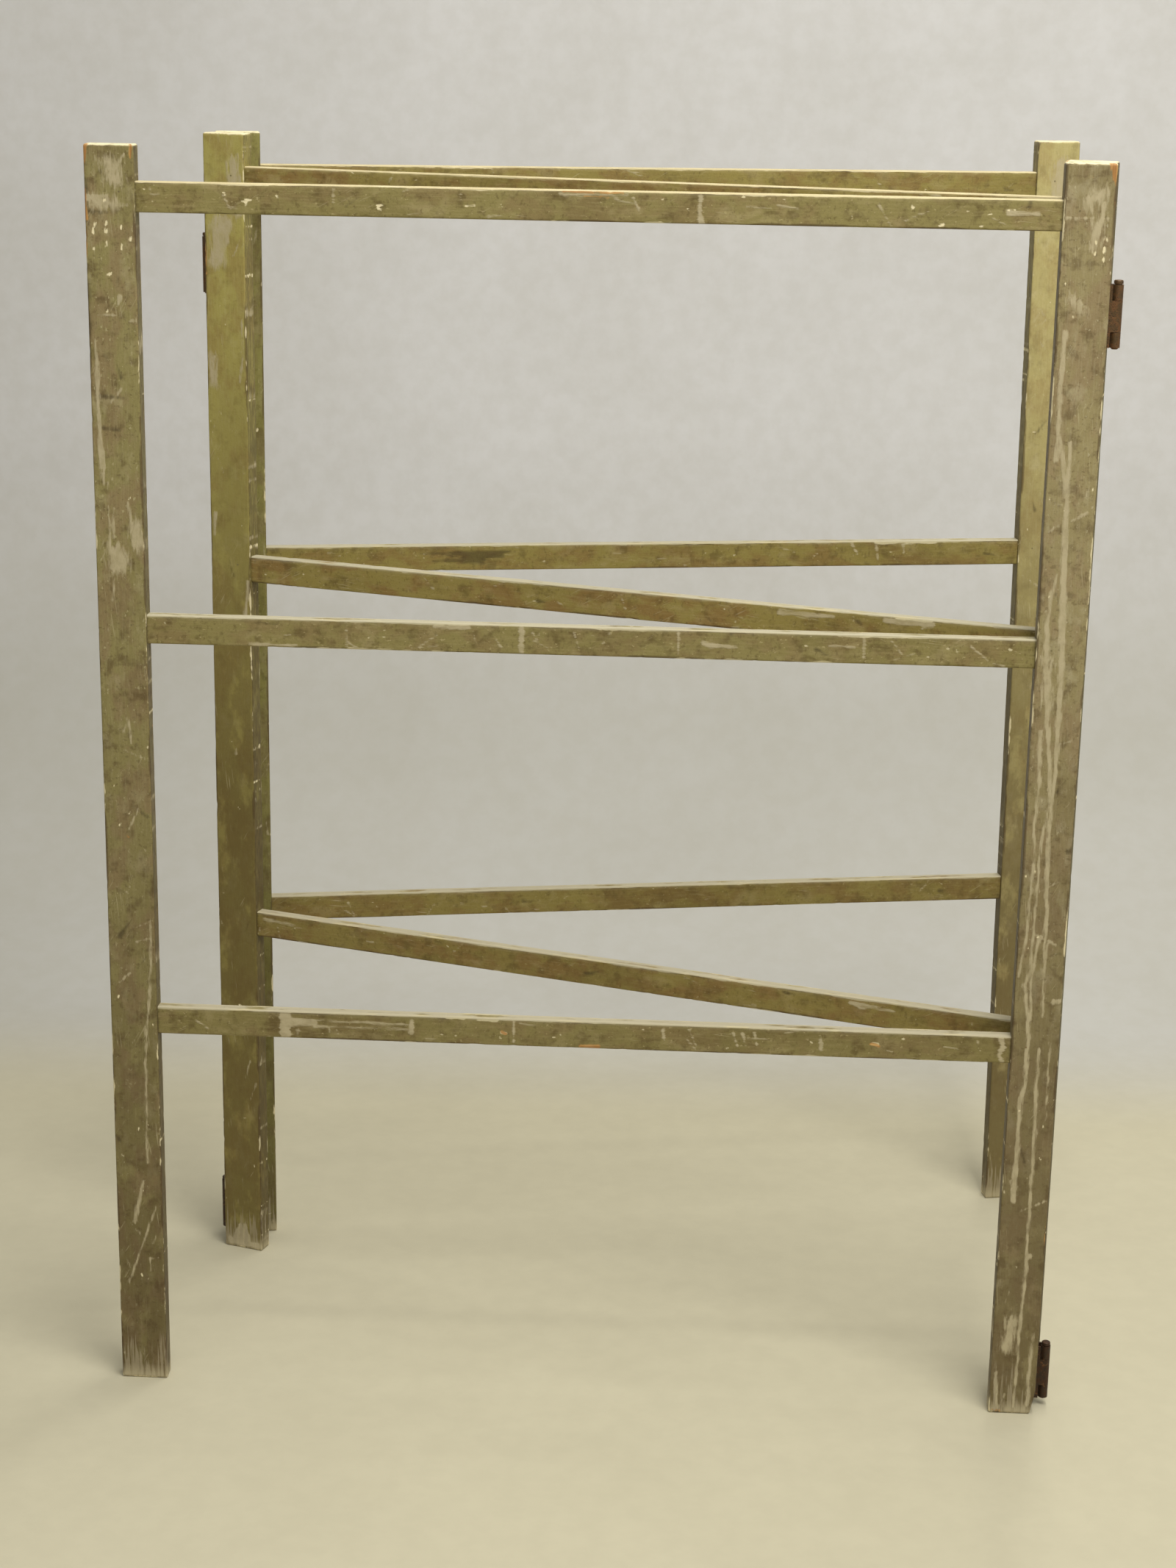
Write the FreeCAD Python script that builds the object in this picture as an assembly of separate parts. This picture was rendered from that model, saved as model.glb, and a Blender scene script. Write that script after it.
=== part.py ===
"""Folding clothes horse: three painted wooden sections on iron butt hinges.

Each section is a pair of flat stiles joined by three rails with blind mortise
and tenon joints. The front and rear sections hinge on the middle one at
opposite ends, so that the rack stands in a zigzag and folds flat.

Frame: millimetres, +Z up, the floor at Z = 0, X along the front section and Y
from the front section to the rear one. The origin is the bottom centre of the
whole rack as it stands.
"""
import FreeCAD, Part
import math
import os

from FreeCAD import Placement, Rotation, Vector

# ---- driving dimensions ----
rack_height = 1375.0           # about 4 ft 6 in
section_width = 1036.8         # over the two stiles of one section
stile_width = 51.4
stile_thickness = 21.0
rail_height = 31.0
rail_thickness = 14.5
rail_centre_heights = {"top": 1323.0, "centre": 875.0, "bottom": 435.0}

front_opening_angle = 18.0      # front section from the middle one, degrees
rear_opening_angle = 29.3       # rear section from the middle one, degrees

# ---- wood joints ----
long_arris_radius = 1.2        # along the grain of stiles and rails
end_chamfer = 0.8              # round the top and bottom of a stile
tenon_length = 32.0
tenon_height = 24.5
tenon_thickness = 8.5
mortise_end_gap = 1.0
brad_diameter = 2.0
brad_length = 17.0
brad_inset = 16.0              # from the stile's inner edge
brad_rise = 5.0                # above the rail's centre line

# ---- butt hinges, 2 1/2 in ----
hinge_height = 63.5
barrel_radius = 5.3
pin_radius = 2.5
pin_running_clearance = 0.05
pin_edge_offset = 11.6         # pin axis outside the stile's outer edge
leaf_thickness = 2.4
leaf_reach = 33.0              # from the pin axis to the leaf's free edge
leaf_corner_radius = 1.5
leaf_notch_clearance = 0.8
knuckle_gap = 0.3
end_knuckle_height = 15.7      # one of the middle section's two knuckles
button_radius = 4.8
button_height = 3.8
button_neck_radius = 3.6
button_neck_height = 0.8
button_round = 1.4
tip_height = 1.6               # rounded lower end of the pin
tip_round = 1.2
hinge_centre_heights = {
    "upper_right": 1223.0,
    "lower_right": 41.5,
    "upper_left": 1225.0,
    "lower_left": 46.0,
}

# ---- wood screws of the hinges ----
screw_offsets = ((-21.0, 21.5), (0.0, 25.5), (21.0, 21.5))   # along the leaf, out from the pin
screw_head_radius = 3.8
screw_shank_radius = 2.0
screw_length = 15.0
screw_point_length = 5.0
screw_slot_width = 0.9
screw_slot_depth = 0.9

# ---- worked out ----
half_gap = barrel_radius       # the leaves lie tangent to the barrel
pin_pitch_depth = 2 * half_gap + stile_thickness
pin_pitch_length = 2 * pin_edge_offset + section_width
UP = Vector(0, 0, 1)
INTO_WOOD = Vector(0, 1, 0)    # from a front face, and from a leaf as it is built
MATCH = 0.01                   # how near two places count as one


def block(x0, x1, y0, y1, z0, z1):
    """A box between two corners."""
    return Part.makeBox(x1 - x0, y1 - y0, z1 - z0, Vector(x0, y0, z0))


def edges_along(shape, axis):
    """The straight edges of a shape that run along one axis, 0 for X to 2 for Z."""
    chosen = []
    for edge in shape.Edges:
        run = edge.Vertexes[1].Point - edge.Vertexes[0].Point
        if abs(abs(run[axis]) - run.Length) < MATCH:
            chosen.append(edge)
    return chosen


def edges_at_height(shape, z):
    """The edges of a shape that lie at one height."""
    return [edge for edge in shape.Edges
            if abs(edge.BoundBox.ZMin - z) < MATCH and abs(edge.BoundBox.ZMax - z) < MATCH]


# A section is built lying along -X, with the right-hand pin's line at x = 0,
# its front face at y = 0 and its back face at y = stile_thickness.
LEFT_EDGE = -pin_edge_offset - section_width
RIGHT_EDGE = -pin_edge_offset
LEFT_SHOULDER = LEFT_EDGE + stile_width
RIGHT_SHOULDER = RIGHT_EDGE - stile_width
STILE_MIDDLE = stile_thickness / 2


def tenon_box(z, end_gap):
    """Where a rail's two tenons lie, or their mortises with an end gap."""
    half_depth = tenon_thickness / 2
    half_height = tenon_height / 2
    reach = tenon_length + end_gap
    return [block(LEFT_SHOULDER - reach, LEFT_SHOULDER,
                  STILE_MIDDLE - half_depth, STILE_MIDDLE + half_depth,
                  z - half_height, z + half_height),
            block(RIGHT_SHOULDER, RIGHT_SHOULDER + reach,
                  STILE_MIDDLE - half_depth, STILE_MIDDLE + half_depth,
                  z - half_height, z + half_height)]


def brads():
    """One headless brad through each tenon, driven from the front face."""
    made = []
    for z in rail_centre_heights.values():
        for x in (LEFT_SHOULDER - brad_inset, RIGHT_SHOULDER + brad_inset):
            made.append(Part.makeCylinder(brad_diameter / 2, brad_length,
                                          Vector(x, 0, z + brad_rise), INTO_WOOD))
    return made


def stile(left):
    """An upright with its mortises and brad holes cut."""
    x0 = LEFT_EDGE if left else RIGHT_SHOULDER
    upright = block(x0, x0 + stile_width, 0, stile_thickness, 0, rack_height)
    upright = upright.makeFillet(long_arris_radius, edges_along(upright, 2))
    rims = edges_at_height(upright, 0) + edges_at_height(upright, rack_height)
    upright = upright.makeChamfer(end_chamfer, rims)
    for z in rail_centre_heights.values():
        upright = upright.cut(tenon_box(z, mortise_end_gap)[0 if left else 1])
    for brad in brads():
        upright = upright.cut(brad)
    return upright


def rail(z):
    """A rail with a tenon at each end, and the brad holes through them."""
    half_depth = rail_thickness / 2
    half_height = rail_height / 2
    bar = block(LEFT_SHOULDER, RIGHT_SHOULDER,
                STILE_MIDDLE - half_depth, STILE_MIDDLE + half_depth,
                z - half_height, z + half_height)
    bar = bar.makeFillet(long_arris_radius, edges_along(bar, 0))
    for tenon in tenon_box(z, 0):
        bar = bar.fuse(tenon)
    bar = bar.removeSplitter()
    for brad in brads():
        bar = bar.cut(brad)
    return bar


# A hinge is built about its pin, which stands at the origin. The leaf lies
# along -X, and its back is the plane y = half_gap, against the wood.


def leaf_plate(z0, z1):
    """The flat plate of a leaf, clear of the barrel, with rounded free corners."""
    near = -(barrel_radius + leaf_notch_clearance)
    plate = block(-leaf_reach, near, half_gap - leaf_thickness, half_gap, z0, z1)
    corners = [edge for edge in edges_along(plate, 1)
               if abs(edge.BoundBox.XMin + leaf_reach) < MATCH]
    return plate.makeFillet(leaf_corner_radius, corners)


def knuckle(z0, z1, bore):
    """One knuckle of a leaf, rolled from the plate round the pin."""
    tongue = block(-(barrel_radius + leaf_notch_clearance), 0,
                   half_gap - leaf_thickness, half_gap, z0, z1)
    barrel = Part.makeCylinder(barrel_radius, z1 - z0, Vector(0, 0, z0))
    hole = Part.makeCylinder(bore, z1 - z0, Vector(0, 0, z0))
    return barrel.fuse(tongue).cut(hole)


def screw(z, reach):
    """A slotted countersunk wood screw, its head flush with the leaf."""
    face = half_gap - leaf_thickness
    head = Part.makeCone(screw_head_radius, screw_shank_radius, leaf_thickness,
                         Vector(-reach, face, z), INTO_WOOD)
    shank_length = screw_length - leaf_thickness - screw_point_length
    shank = Part.makeCylinder(screw_shank_radius, shank_length,
                              Vector(-reach, half_gap, z), INTO_WOOD)
    point = Part.makeCone(screw_shank_radius, 0, screw_point_length,
                          Vector(-reach, half_gap + shank_length, z), INTO_WOOD)
    return head.fuse([shank, point]).removeSplitter()


def screw_slot(z, reach):
    """The driver's slot across a screw head."""
    half = screw_slot_width / 2
    face = half_gap - leaf_thickness
    return block(-reach - screw_head_radius, -reach + screw_head_radius,
                 face, face + screw_slot_depth, z - half, z + half)


def hinge(centre_height):
    """One leaf of each kind, the screws of one leaf and the pin, about the pin."""
    z0 = centre_height - hinge_height / 2
    z1 = centre_height + hinge_height / 2
    low = z0 + end_knuckle_height
    high = z1 - end_knuckle_height
    places = [(centre_height + along, reach) for along, reach in screw_offsets]
    solid_screws = [screw(z, reach) for z, reach in places]
    plate = leaf_plate(z0, z1).cut(solid_screws)
    outer = plate.fuse([knuckle(z0, low, pin_radius), knuckle(high, z1, pin_radius)])
    inner = plate.fuse(knuckle(low + knuckle_gap, high - knuckle_gap,
                               pin_radius + pin_running_clearance))
    screws = [body.cut(screw_slot(z, reach)) for body, (z, reach) in zip(solid_screws, places)]
    return {"two_knuckle_leaf": outer.removeSplitter(),
            "one_knuckle_leaf": inner.removeSplitter(),
            "screws": screws,
            "solid_screws": solid_screws,
            "pin": hinge_pin(z0, z1)}


def hinge_pin(z0, z1):
    """A loose pin with a button on top and a short rounded tip below."""
    stem = Part.makeCylinder(pin_radius, z1 - z0, Vector(0, 0, z0))
    neck = Part.makeCylinder(button_neck_radius, button_neck_height, Vector(0, 0, z1))
    button_base = z1 + button_neck_height
    button = Part.makeCylinder(button_radius, button_height, Vector(0, 0, button_base))
    button = button.makeFillet(button_round, edges_at_height(button, button_base + button_height))
    tip = Part.makeCylinder(button_neck_radius, tip_height, Vector(0, 0, z0 - tip_height))
    tip = tip.makeFillet(tip_round, edges_at_height(tip, z0 - tip_height))
    return stem.fuse([neck, button, tip]).removeSplitter()


# Where each section stands. The right-hand pin is at the middle section's
# right end, the left-hand pin at its left end.
right_pin = Vector(0, 0, 0)
middle_turn = Rotation(UP, -front_opening_angle)
left_pin = middle_turn.multVec(Vector(-pin_pitch_length, pin_pitch_depth, 0))

section_places = {
    "front": Placement(Vector(0, -half_gap - stile_thickness, 0), Rotation()),
    "middle": Placement(Vector(0, 0, 0), middle_turn).multiply(
        Placement(Vector(0, half_gap, 0), Rotation())),
    "rear": Placement(left_pin, Rotation(UP, rear_opening_angle - front_opening_angle)).multiply(
        Placement(Vector(pin_pitch_length, half_gap, 0), Rotation())),
}

# Each leaf's place from its pin: which section it is screwed to, how the leaf
# as built is turned onto that section, and which kind of leaf it is. A leaf
# laid against a front face is turned half round about X or about Z.
flip_to_back_face = Rotation(Vector(1, 0, 0), 180)


def leaf_place(pin, section, on_left, on_front_face):
    """The placement that carries a leaf as built onto one section's face."""
    turn = section_places[section].Rotation
    local = Rotation()
    if on_left:
        local = Rotation(UP, 180)
    if on_front_face == on_left:
        local = local.multiply(flip_to_back_face)
    return Placement(pin, turn.multiply(local))


def turned(shape, place, centre_height):
    """A leaf, or its screws, put in place about the hinge's own mid height."""
    moved = shape.copy()
    moved.translate(Vector(0, 0, -centre_height))
    moved.Placement = place.multiply(moved.Placement)
    moved.translate(Vector(0, 0, centre_height))
    return moved


pieces = {}
for section, place in section_places.items():
    parts = {"left_stile": stile(True), "right_stile": stile(False)}
    for level, z in rail_centre_heights.items():
        parts[level + "_rail"] = rail(z)
    for name, shape in parts.items():
        pieces[section + "_" + name] = shape.transformed(place.toMatrix())
    pieces[section + "_rail_brads"] = Part.makeCompound(
        [brad.transformed(place.toMatrix()) for brad in brads()])

for hinge_name, centre_height in hinge_centre_heights.items():
    height_word, side = hinge_name.split("_")
    on_left = side == "left"
    pin = left_pin if on_left else right_pin
    made = hinge(centre_height)
    outer_section = "rear" if on_left else "front"
    # The front section carries its leaves on its back face, the rear section
    # on its front face; the middle section has one pair on each face.
    for section, kind, front_face in ((outer_section, "one_knuckle_leaf", on_left),
                                      ("middle", "two_knuckle_leaf", not on_left)):
        place = leaf_place(pin, section, on_left, front_face)
        name = section + "_" + hinge_name + "_leaf"
        pieces[name] = turned(made[kind], place, centre_height)
        screws = [turned(body, place, centre_height) for body in made["screws"]]
        pieces[name + "_screws"] = Part.makeCompound(screws)
        wood = section + "_" + side + "_stile"
        for body in made["solid_screws"]:
            pieces[wood] = pieces[wood].cut(turned(body, place, centre_height))
    pin_shape = made["pin"].copy()
    pin_shape.translate(pin)
    pieces[hinge_name + "_hinge_pin"] = pin_shape

whole = Part.makeCompound(list(pieces.values())).optimalBoundingBox(False)
origin_shift = Vector(-whole.Center.x, -whole.Center.y, 0)

os.makedirs("parts", exist_ok=True)
for name, shape in pieces.items():
    shape.translate(origin_shift)
    shape.exportStep("parts/" + name + ".step")
    print(name, len(shape.Solids), shape.isValid(), round(shape.Volume / 1000, 2))
print("right pin", right_pin + origin_shift)
print("left pin", left_pin + origin_shift)
print("box", whole.XLength, whole.YLength, whole.ZLength)
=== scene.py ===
"""A folding clothes horse: three painted wooden sections on rusty butt hinges."""
import math

import bmesh
import bpy
import numpy as np
from mathutils import Matrix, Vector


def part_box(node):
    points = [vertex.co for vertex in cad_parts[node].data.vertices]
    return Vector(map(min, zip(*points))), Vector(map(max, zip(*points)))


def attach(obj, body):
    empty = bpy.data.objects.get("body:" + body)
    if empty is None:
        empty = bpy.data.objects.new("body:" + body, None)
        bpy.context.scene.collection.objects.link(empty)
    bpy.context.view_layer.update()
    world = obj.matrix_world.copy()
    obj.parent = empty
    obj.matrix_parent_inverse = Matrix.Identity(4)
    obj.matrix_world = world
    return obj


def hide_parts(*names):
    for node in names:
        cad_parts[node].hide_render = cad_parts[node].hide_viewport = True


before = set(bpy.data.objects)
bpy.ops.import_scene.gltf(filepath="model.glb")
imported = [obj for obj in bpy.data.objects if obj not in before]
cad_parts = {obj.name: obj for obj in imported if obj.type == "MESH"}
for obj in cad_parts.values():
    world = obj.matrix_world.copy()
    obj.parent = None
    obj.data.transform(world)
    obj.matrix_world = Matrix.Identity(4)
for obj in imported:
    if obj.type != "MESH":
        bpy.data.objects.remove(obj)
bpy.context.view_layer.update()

# ======================================================================
# Stiles. Six planed softwood uprights, two to a section, painted olive over
# an old cream coat. Years of carrying have rounded the arrises and rubbed the
# paint through; drips and scrapes run down the front pair.
# ======================================================================
MM = 0.001
TURN = {"front": 0.0, "middle": -18.0, "rear": 11.3}   # of a section about +Z, degrees
GRID = {"front": (1.9, 1.5), "middle": (2.2, 2.2), "rear": (2.2, 2.2)}   # mesh along and round, mm

low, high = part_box("front_left_stile")
STILE_WIDTH = (high[0] - low[0]) / MM
STILE_DEPTH = (high[1] - low[1]) / MM
STILE_HEIGHT = (high[2] - low[2]) / MM
ARRIS = 1.5                    # usual radius of a worn arris, mm
ARRIS_LIMITS = (0.6, 4.5)      # its least and its greatest radius, mm
BRUISE_SPACING = 80            # mm of arris to each bruise
END_ROUND = 2.4                # round of the sawn ends, mm


def wander(t, spacing, rng):
    """Smooth random line from -1 to 1: random heights at knots one spacing apart,
    eased between neighbours by the cubic 3u^2 - 2u^3."""
    knots = rng.uniform(-1, 1, int(np.max(t) / spacing) + 3)
    place = np.asarray(t) / spacing
    whole = np.floor(place).astype(int)
    part = place - whole
    ease = part * part * (3 - 2 * part)
    return knots[whole] * (1 - ease) + knots[whole + 1] * ease


def worn_radii(z, rng):
    """Radius of each of the four arrises along the stick, in mm: a steady radius, a slow
    wander of a third of it and a quick one of a seventh, and bruises, each a
    raised-cosine bump along z."""
    radii = np.empty((len(z), 4))
    for arris in range(4):
        slow, quick = 0.35 * wander(z, 70, rng), 0.15 * wander(z, 9, rng)
        radii[:, arris] = ARRIS * (1 + slow + quick)
        for _ in range(int(z[-1] / BRUISE_SPACING)):
            middle, half, extra = rng.uniform(0, z[-1]), rng.uniform(3, 10), rng.uniform(0.3, 1.6)
            reach = np.clip((z - middle) / half, -1, 1)
            radii[:, arris] += extra * (0.5 + 0.5 * np.cos(np.pi * reach))
    return np.clip(radii, *ARRIS_LIMITS)


FRONT_FACE, SIDE_FACES, AN_END = 2, (1, 3), 4      # a stick's faces: 0 is the back one


def stick_surface(width, depth, length, step, rng):
    """A worn rectangular stick as a grid: rows along it, columns round it.

    The profile is a rectangle whose corners are quarter circles, with four radii of
    its own on each row. Both ends roll over by a quarter circle and close on the
    profile's middle line: a point moves towards the nearest point of that line by its
    inset over half the depth. Returns x across, y through and z along from the low end
    in mm, and each point's face."""
    turns = np.linspace(0, np.pi / 2, 4)[::-1]
    flat = np.linspace(depth / 2, END_ROUND, 7)[:-1]
    end_z = np.concatenate([np.zeros(len(flat)), END_ROUND * (1 - np.sin(turns))])
    end_in = np.concatenate([flat, END_ROUND * (1 - np.cos(turns))])
    body = np.linspace(END_ROUND, length - END_ROUND, int(length / step[0]))[1:-1]
    z = np.concatenate([end_z, body, length - end_z[::-1]])
    inset = np.concatenate([end_in, np.zeros(len(body)), end_in[::-1]])
    line = np.linspace(0, length, int(length / step[0]) + 1)
    smooth = worn_radii(line, rng)
    radii = np.stack([np.interp(z, line, smooth[:, arris]) for arris in range(4)], axis=1)

    centre_x = np.array([1, -1, -1, 1]) * (width / 2 - radii)
    centre_y = np.array([1, 1, -1, -1]) * (depth / 2 - radii)
    xs, ys, faces = [], [], []
    for k in range(4):
        angle = np.linspace(0, np.pi / 2, 5)[None, :] + k * np.pi / 2
        xs.append(centre_x[:, k, None] + radii[:, k, None] * np.cos(angle))
        ys.append(centre_y[:, k, None] + radii[:, k, None] * np.sin(angle))
        after, turn = (k + 1) % 4, (k + 1) * np.pi / 2
        flat_run = width if k in (0, 2) else depth
        part = np.linspace(0, 1, int(flat_run / step[1]) + 1)[1:-1][None, :]
        for parts, centre, swing in ((xs, centre_x, math.cos(turn)), (ys, centre_y, math.sin(turn))):
            first = centre[:, k] + radii[:, k] * swing
            last = centre[:, after] + radii[:, after] * swing
            parts.append(first[:, None] * (1 - part) + last[:, None] * part)
        faces += [(k - 1) % 4] * 2 + [k] * (3 + part.shape[1])   # half a corner goes to each face
    x, y = np.concatenate(xs, axis=1), np.concatenate(ys, axis=1)
    z = np.repeat(z[:, None], x.shape[1], axis=1)
    face = np.where(inset[:, None] > END_ROUND, AN_END, np.array(faces)[None, :])
    middle = np.clip(x, -(width - depth) / 2, (width - depth) / 2)
    keep = 1 - inset[:, None] / (depth / 2)
    return middle + (x - middle) * keep, y * keep, z, face


WELL_OUTSIDE = -9.0        # mm, further from a mark's edge than any of its effects reaches


def stroke(u, v, points, widths):
    """How far inside a brush stroke each place lies, in mm, negative outside: half the
    stroke's width where it is nearest, less the distance to its centre line."""
    widths = np.broadcast_to(np.asarray(widths, float), len(points))
    inside = np.full(u.shape, WELL_OUTSIDE)
    for (u0, v0), (u1, v1), w0, w1 in zip(points[:-1], points[1:], widths[:-1], widths[1:]):
        run = max((u1 - u0) ** 2 + (v1 - v0) ** 2, 1e-9)
        part = np.clip(((u - u0) * (u1 - u0) + (v - v0) * (v1 - v0)) / run, 0, 1)
        away = np.hypot(u - u0 - part * (u1 - u0), v - v0 - part * (v1 - v0))
        inside = np.maximum(inside, (w0 + (w1 - w0) * part) / 2 - away)
    return inside


def loose_strokes(u, v, rng, count, length, widths):
    """The union of short straight strokes, each at a random place and slant, and
    tapered to two fifths of its width."""
    inside = np.full(u.shape, WELL_OUTSIDE)
    for _ in range(count):
        a, b = rng.uniform(np.min(u), np.max(u)), rng.uniform(np.min(v), np.max(v))
        run, slant, wide = rng.uniform(0.2, 1) * length, rng.normal(0, 0.7), rng.uniform(*widths)
        points = [(a, b), (a + run * math.cos(slant), b + run * math.sin(slant))]
        inside = np.maximum(inside, stroke(u, v, points, [wide, wide * 0.4]))
    return inside


# Marks drawn on the front faces, as (height, distance from the stile's left
# edge) along each mark, or for a rail (distance from the section's left edge, height
# from the rail's centre line), and its widths there, all in mm. DRIPS are runs and
# scrapes of pale paint, HAZE is milky bloom, CHIPS go down to the cream coat, STAINS
# are dark and BARE is bare wood. They are laid out on a stile DRAWN_WIDTH wide.
DRAWN_WIDTH = 50.0
DRIPS = {
    "front_right_stile": [
        ([(1208, 9), (1136, 8), (1110, 9), (1080, 15), (1040, 20)], [5, 5, 4, 5, 4]),
        ([(1100, 8.5), (1079, 8)], [3, 5]),
        ([(1097, 21.5), (1040, 21.6), (983, 22.4), (912, 25.5), (856, 27.5), (745, 28), (704, 25.5),
          (640, 26), (579, 29), (523, 30.5), (476, 31)], [3, 5, 6, 8, 6, 5, 4, 4, 4, 3, 2]),
        ([(961, 17), (939, 12), (905, 9.5), (842, 13), (801, 16.5), (759, 21.5), (717, 25)],
         [1, 3, 5, 6, 5, 4, 4]),
        ([(710, 24), (670, 17.5), (579, 16), (526, 15), (511, 10.5), (484, 14), (452, 18), (391, 17),
          (380, 13.5), (327, 13.5), (260, 13)], [3, 3, 2.5, 3, 4, 4, 4, 4, 5, 5, 6]),
        ([(793, 9.7), (734, 12), (690, 9.7), (654, 12), (606, 9.7), (565, 9), (543, 6), (520, 3.5)],
         [5, 3.5, 3, 2.5, 2.5, 2, 2, 1]),
        ([(565, 22.7), (543, 19.4), (512, 17), (452, 18.6)], [3, 3, 2.5, 3]),
        ([(438, 30), (396, 29.7), (341, 31.6), (202, 31), (174, 32), (119, 29.7), (63, 28.8), (8, 27)],
         [3, 3.5, 3.5, 3, 3.5, 3, 3, 2.5]),
        ([(119, 18.5), (95, 16), (78, 16)], [5, 6, 2]),
        ([(446, 41.5), (355, 42)], [1.6, 1.2]),
        ([(1250, 8.6), (1233, 28)], [1, 4]),
        ([(1025, 43), (1016, 27)], [3, 1.5]),
        ([(1011, 14), (1004, 4.5)], [1, 2]),
        ([(569, 18), (558, 40)], [3, 2.5]),
        ([(260, 48), (248, 23)], [2.5, 1]),
        ([(494, 50), (493, 43)], [4, 6]),
        ([(194, 34), (192, 33.5)], [6, 5]),
        ([(1321, 2), (1320.5, 48)], [1.8, 1.4]),
        ([(1347, 38), (1338, 30), (1341, 22)], [7, 5, 4]),
        ([(1336, 40), (1306, 37)], [4, 3]),
        ([(50, 6), (4, 8)], [3, 5]),
        ([(100, 45), (45, 42), (12, 44)], [2, 3.5, 5]),
    ],
    "front_left_stile": [
        ([(1315, 15), (1314.5, 41)], [2.4, 2.4]),
        ([(1321, 2), (1323, 20)], [7, 4]),
        ([(1313, 3), (1317, 16)], [3, 3]),
        ([(1341, 20), (1338, 28)], [1.5, 1.5]),
        ([(1365, 40), (1352, 32), (1344, 24)], [2, 4, 3]),
        ([(1358, 22), (1350, 26)], [2, 3]),
        ([(1222, 32), (1215, 30)], [5, 3]),
        ([(1204, 8), (1204, 28)], [1.2, 1.2]),
        ([(1199, 51), (1198, 42)], [5, 2]),
        ([(1178, 4.5), (1150, 6), (1112, 6), (1070, 7), (1047, 9)], [1.5, 4, 4, 6, 7]),
        ([(1041, 8.5), (1029, 9)], [4, 3]),
        ([(1129, 31), (1115, 20)], [1.4, 1.2]),
        ([(1010, 34), (996, 36), (984, 38)], [1, 3, 2]),
        ([(1006, 13), (980, 14), (955, 14)], [1, 3, 4]),
        ([(1004, 19), (972, 18)], [1, 2]),
        ([(962, 16), (950, 20), (941, 16)], [3, 6, 8]),
        ([(957, 30), (947, 24)], [2, 5]),
        ([(990, 44), (968, 46)], [3, 2]),
        ([(778, 25.5), (766, 29), (751, 29.5)], [3.5, 2.5, 2]),
        ([(530, 44), (529, 36), (526, 29)], [1.6, 1.4, 1.4]),
        ([(490, 21), (479, 9.7)], [2.2, 1.2]),
        ([(551, 45), (500, 44), (452, 41), (424, 37), (369, 35), (313, 34.5), (266, 34.5)],
         [1, 2, 2.5, 2.5, 2.5, 2, 2]),
        ([(244, 29), (215, 22), (194, 18)], [3, 4, 5]),
        ([(213, 43), (160, 24), (119, 9.5)], [1.2, 1.8, 2.4]),
        ([(150, 43), (149, 34), (134, 35)], [1.4, 1.4, 1.6]),
    ],
    "middle_left_stile": [
        ([(1352, 42), (1320, 43), (1300, 42)], [1, 3, 2]),
        ([(1270, 22), (1258, 18)], [2, 3]),
        ([(1165, 44), (1130, 46), (1095, 41)], [2, 3, 2]),
        ([(1122, 8), (1105, 6)], [5, 3]),
        ([(939, 6), (914, 4)], [4, 3]),
        ([(860, 47), (820, 43)], [4, 5]),
        ([(30, 20), (12, 20)], [6, 22]),
        ([(36, 27), (14, 26)], [1, 18]),
        ([(8, 5), (6, 44)], [8, 8]),
    ],
    "front_top_rail": [
        ([(65, 9), (65, 4), (70, 2), (74, 4)], [1, 1.2, 1.2, 1]),
        ([(252, 11), (252, -2)], [2, 1.5]),
        ([(623, 14), (622, -4), (624, -14)], [4, 4, 7]),
        ([(555, 9), (561, -3)], [1.5, 1]),
        ([(481, 11), (549, 12)], [3, 2]),
        ([(700, 4), (720, 2)], [1, 1]),
        ([(930, 2), (960, 1)], [5, 3]),
    ],
    "front_centre_rail": [
        ([(262, 13), (262, -12)], [1.2, 1.2]),
        ([(396, 8), (399, -4)], [1.2, 1]),
        ([(447, 14), (447, -12)], [6, 5]),
        ([(459, 8), (463, 0), (466, 7)], [1.2, 1.2, 1.2]),
        ([(502, 10), (508, -8)], [1.2, 1]),
        ([(356, 12), (391, 12)], [5, 5]),
        ([(612, 13), (612, -10)], [2, 1.8]),
        ([(638, 2), (645, 0), (673, -1)], [5, 6, 2]),
        ([(770, 3), (796, 2)], [1.6, 1.2]),
        ([(806, 13), (806, -9)], [3, 2.5]),
        ([(159, -13), (209, -13)], [3, 3]),
    ],
    "front_bottom_rail": [
        ([(191, 15), (191, -15)], [12, 12]),
        ([(197, 3), (223, 4)], [12, 8]),
        ([(223, 6), (326, 5)], [2, 2]),
        ([(223, -1), (326, -1)], [2.4, 2]),
        ([(331, 8), (330, -4)], [6, 6]),
        ([(205, -6), (205, -12)], [3, 1]),
        ([(240, -2), (240, -7)], [2, 1]),
        ([(443, 13), (443, -11)], [1.8, 1.4]),
        ([(606, 9), (608, -3)], [4, 1.5]),
        ([(635, 10), (643, -8)], [1.6, 1.2]),
        ([(683, 8), (688, -6)], [2, 1.5]),
        ([(693, 8), (697, -6)], [2.4, 1.5]),
        ([(706, 9), (709, -4)], [2, 1.4]),
        ([(778, 8), (779, -7)], [3, 4]),
        ([(973, 13), (976, 3), (972, -6), (975, -13)], [5, 6, 5, 6]),
    ],
    "middle_centre_rail": [([(700, 8), (760, 9)], [6, 4]), ([(820, 10), (870, 11)], [7, 8])],
    "middle_bottom_rail": [([(800, 9), (850, 6)], [5, 2]), ([(810, 4), (830, 8)], [2, 3]),
                           ([(60, 8), (110, 3)], [4, 2])],
    "rear_centre_rail": [([(770, 12), (778, -2)], [3, 1.5]), ([(800, 13), (804, -8)], [4, 1.5]),
                         ([(835, 13), (836, 0)], [3, 1.5]), ([(800, 15), (875, 15)], [7, 7])],
}
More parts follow.
